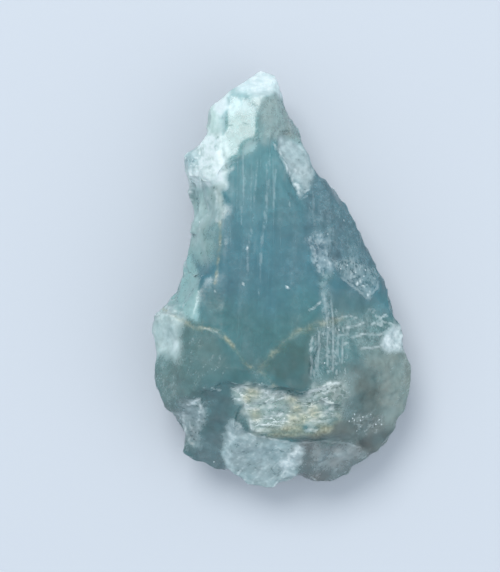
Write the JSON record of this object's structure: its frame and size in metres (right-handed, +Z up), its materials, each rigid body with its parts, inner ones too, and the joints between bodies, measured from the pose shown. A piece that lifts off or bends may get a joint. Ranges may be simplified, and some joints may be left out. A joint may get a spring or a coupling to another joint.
{
  "type": "rough aquamarine crystal",
  "caption": "Rough pear-shaped piece of translucent blue-green beryl, pointed at one end, broken and stepped at the other, lying on a flat break.",
  "frame": {"origin": "bottom centre of the stone's bounding box, on the surface it lies on", "axes": "+Z up from the flat break to the broad striated face, +Y from the broken foot to the pointed tip, +X to the right of the stone seen from above with the tip away"},
  "size_m": [0.047, 0.075, 0.0211],
  "materials": {
    "aquamarine": "satin"
  },
  "bodies": {
    "root": {"aquamarine_crystal": "aquamarine"}
  },
  "joints": []
}
